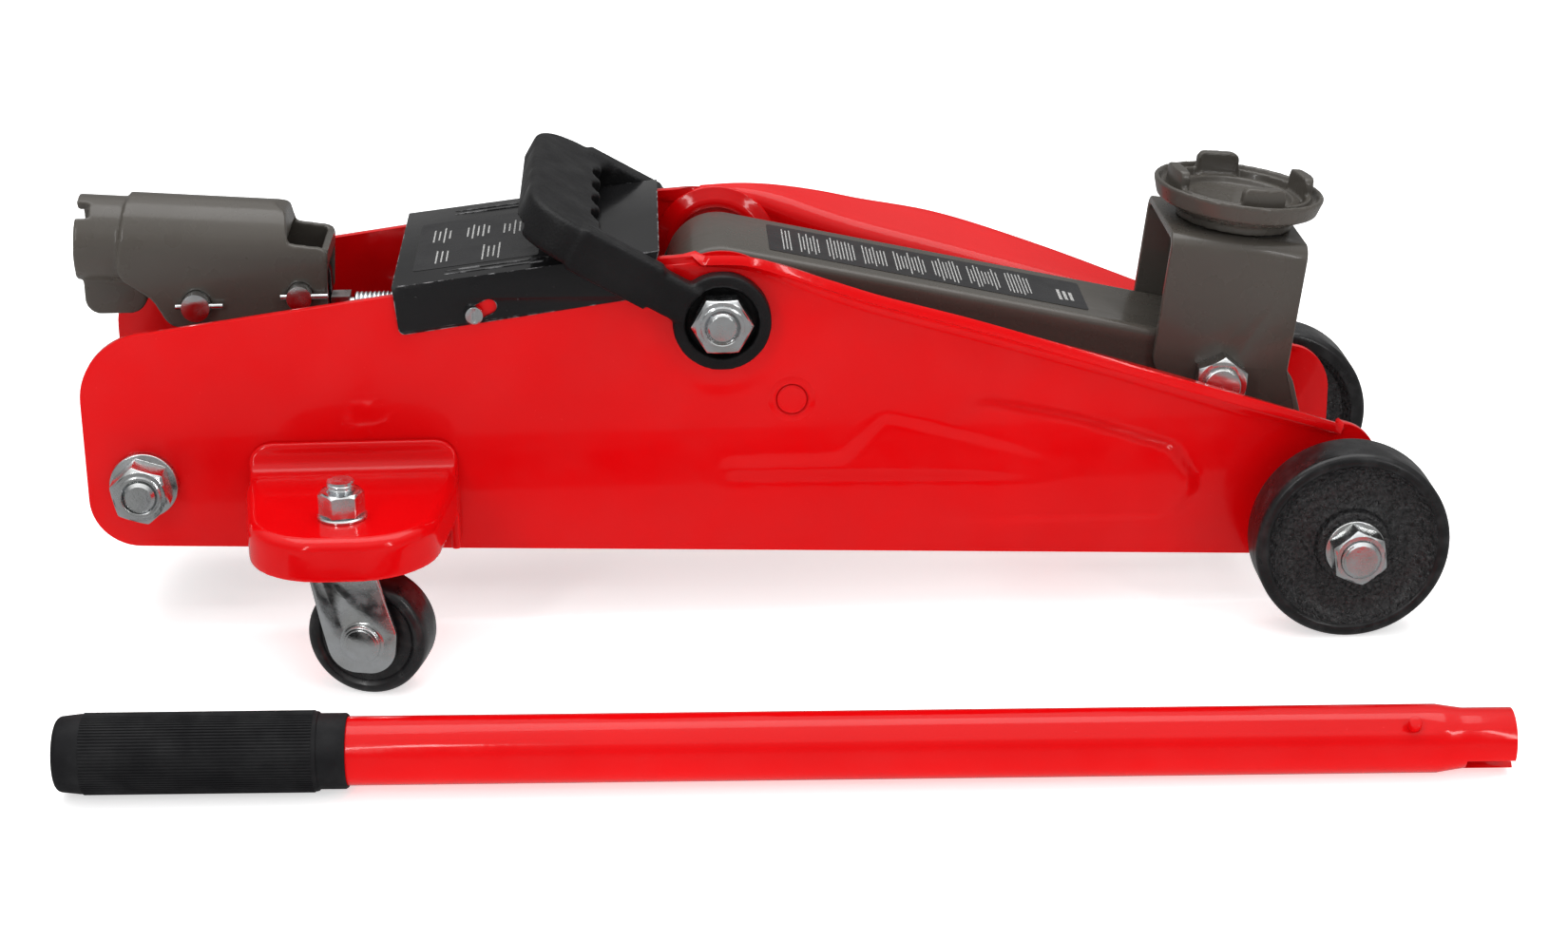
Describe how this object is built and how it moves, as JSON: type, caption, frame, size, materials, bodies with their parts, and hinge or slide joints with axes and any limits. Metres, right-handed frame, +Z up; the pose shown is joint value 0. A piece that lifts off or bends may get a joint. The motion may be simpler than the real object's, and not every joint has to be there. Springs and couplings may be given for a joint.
{
  "type": "trolley car jack",
  "caption": "Low-profile hydraulic trolley jack with folded side plates, cup saddle on a levelling bracket, swivel casters, carrying handle and a loose operating bar.",
  "frame": {"origin": "bottom centre of the box of the whole object, jack and loose bar, on the floor", "axes": "+X towards the saddle and front wheels, +Z up, -Y the right-hand side where the loose bar lies"},
  "size_m": [0.435, 0.2788, 0.1431],
  "materials": {
    "red_enamel": "gloss",
    "grey_enamel": "semi-gloss",
    "black_enamel": "gloss",
    "cast_black": "rough",
    "black_moulding": "fine texture",
    "caster_nylon": "satin",
    "zinc_plate": "bright",
    "bare_steel": "satin",
    "spring_steel": "oiled",
    "grip_rubber": "matt"
  },
  "bodies": {
    "frame": {"side_plate_right": "red_enamel", "side_plate_left": "red_enamel", "frame_tie": "red_enamel", "main_shaft": "zinc_plate", "plate_nuts": "zinc_plate", "arm_spacers": "bare_steel", "rear_bolt": "zinc_plate", "rear_bolt_washers": "zinc_plate", "front_axle": "zinc_plate", "front_axle_spacers": "bare_steel", "front_axle_washers": "zinc_plate", "front_axle_nuts": "zinc_plate", "link_pivot_studs": "red_enamel", "caster_bracket_right": "red_enamel", "caster_bracket_left": "red_enamel", "caster_bolts": "zinc_plate", "caster_nuts": "zinc_plate", "caster_thrust_washers": "zinc_plate", "pump_block": "black_enamel", "reservoir_tube": "black_enamel", "gland_nut": "bare_steel", "filler_plug": "zinc_plate", "pump_gland": "bare_steel", "return_springs": "spring_steel", "pump_spring": "spring_steel", "release_valve_body": "bare_steel", "release_spring": "zinc_plate", "cover_plate": "black_enamel", "cover_screws": "zinc_plate"},
    "ram": {"ram_rod": "bare_steel", "spring_bar": "bare_steel", "ram_yoke": "bare_steel"},
    "lift_arm": {"lift_arm": "grey_enamel", "arm_sleeve": "bare_steel", "crank_pin": "bare_steel"},
    "saddle_bracket": {"saddle_bracket": "grey_enamel", "bracket_bolt": "zinc_plate", "bracket_nut": "zinc_plate", "link_front_pin": "bare_steel"},
    "saddle": {"saddle": "grey_enamel", "saddle_circlip": "zinc_plate"},
    "level_links": {"level_links": "grey_enamel"},
    "operating_socket": {"operating_socket": "grey_enamel", "socket_pins": "zinc_plate", "cotter_pins": "zinc_plate"},
    "pump_roller": {"pump_roller": "bare_steel"},
    "plunger": {"pump_plunger": "bare_steel"},
    "release_screw": {"release_screw": "zinc_plate"},
    "carrying_handle": {"carrying_handle": "black_moulding"},
    "front_wheel_right": {"front_wheel_right": "cast_black"},
    "front_wheel_left": {"front_wheel_left": "cast_black"},
    "caster_right": {"caster_fork_right": "zinc_plate", "caster_axle_right": "zinc_plate"},
    "caster_left": {"caster_fork_left": "zinc_plate", "caster_axle_left": "zinc_plate"},
    "caster_wheel_right": {"caster_wheel_right": "caster_nylon"},
    "caster_wheel_left": {"caster_wheel_left": "caster_nylon"},
    "operating_bar": {"bar_tube": "red_enamel", "bar_grip": "grip_rubber", "bar_catch": "red_enamel"}
  },
  "joints": [
    {"name": "arm_lift", "type": "hinge", "parent": "frame", "child": "lift_arm", "pos_m": [-0.0115, 0.0344, 0.1028], "axis": [0, -1, 0], "range_deg": [0, 67]},
    {"name": "bracket_level", "type": "hinge", "parent": "lift_arm", "child": "saddle_bracket", "pos_m": [0.1495, 0.0344, 0.0727], "axis": [0, -1, 0], "range_deg": [-60, 0]},
    {"name": "saddle_swivel", "type": "hinge", "parent": "saddle_bracket", "child": "saddle", "pos_m": [0.1574, 0.0344, 0.1221], "axis": [0.1262, 0, 0.992], "continuous": true},
    {"name": "link_swing", "type": "hinge", "parent": "frame", "child": "level_links", "pos_m": [0.0104, 0.0344, 0.0747], "axis": [0, -1, 0], "range_deg": [0, 67]},
    {"name": "ram_slide", "type": "slide", "parent": "frame", "child": "ram", "axis": [1, 0, 0], "range_m": [0, 0.05], "deforming": ["return_springs"]},
    {"name": "socket_pump", "type": "hinge", "parent": "frame", "child": "operating_socket", "pos_m": [-0.1455, 0.0344, 0.105], "axis": [0, 1, 0], "range_deg": [0, 50]},
    {"name": "roller_spin", "type": "hinge", "parent": "operating_socket", "child": "pump_roller", "pos_m": [-0.1785, 0.0344, 0.1025], "axis": [0, 1, 0], "continuous": true},
    {"name": "plunger_stroke", "type": "slide", "parent": "frame", "child": "plunger", "axis": [0, 0, 1], "range_m": [0, 0.0252], "deforming": ["pump_spring"]},
    {"name": "release_turn", "type": "hinge", "parent": "frame", "child": "release_screw", "pos_m": [-0.1215, 0.0344, 0.0965], "axis": [1, 0, 0], "range_deg": [-180, 0]},
    {"name": "handle_swing", "type": "hinge", "parent": "frame", "child": "carrying_handle", "pos_m": [-0.0115, 0.0344, 0.1028], "axis": [0, 1, 0], "range_deg": [0, 62]},
    {"name": "front_wheel_right_spin", "type": "hinge", "parent": "frame", "child": "front_wheel_right", "pos_m": [0.1865, -0.02685, 0.031], "axis": [0, 1, 0], "continuous": true},
    {"name": "front_wheel_left_spin", "type": "hinge", "parent": "frame", "child": "front_wheel_left", "pos_m": [0.1865, 0.09565, 0.031], "axis": [0, 1, 0], "continuous": true},
    {"name": "caster_right_swivel", "type": "hinge", "parent": "frame", "child": "caster_right", "pos_m": [-0.129, -0.0496, 0.045], "axis": [0, 0, 1], "continuous": true},
    {"name": "caster_right_wheel_spin", "type": "hinge", "parent": "caster_right", "child": "caster_wheel_right", "pos_m": [-0.12169, -0.05128, 0.0187], "axis": [0.225, 0.9744, 0], "continuous": true},
    {"name": "caster_left_swivel", "type": "hinge", "parent": "frame", "child": "caster_left", "pos_m": [-0.129, 0.1184, 0.045], "axis": [0, 0, 1], "continuous": true},
    {"name": "caster_left_wheel_spin", "type": "hinge", "parent": "caster_left", "child": "caster_wheel_left", "pos_m": [-0.1215, 0.1184, 0.0187], "axis": [0, 1, 0], "continuous": true},
    {"name": "bar_lift_off", "type": "slide", "parent": "frame", "child": "operating_bar", "axis": [0, 0, 1], "range_m": [0, 0.05]}
  ],
  "couplings": [
    {"joint": "bracket_level", "follows": "arm_lift", "ratio": -0.89179},
    {"joint": "link_swing", "follows": "arm_lift", "ratio": 0.993},
    {"joint": "ram_slide", "follows": "arm_lift", "m_per_rad": 0.04248},
    {"joint": "plunger_stroke", "follows": "socket_pump", "m_per_rad": 0.0286}
  ]
}
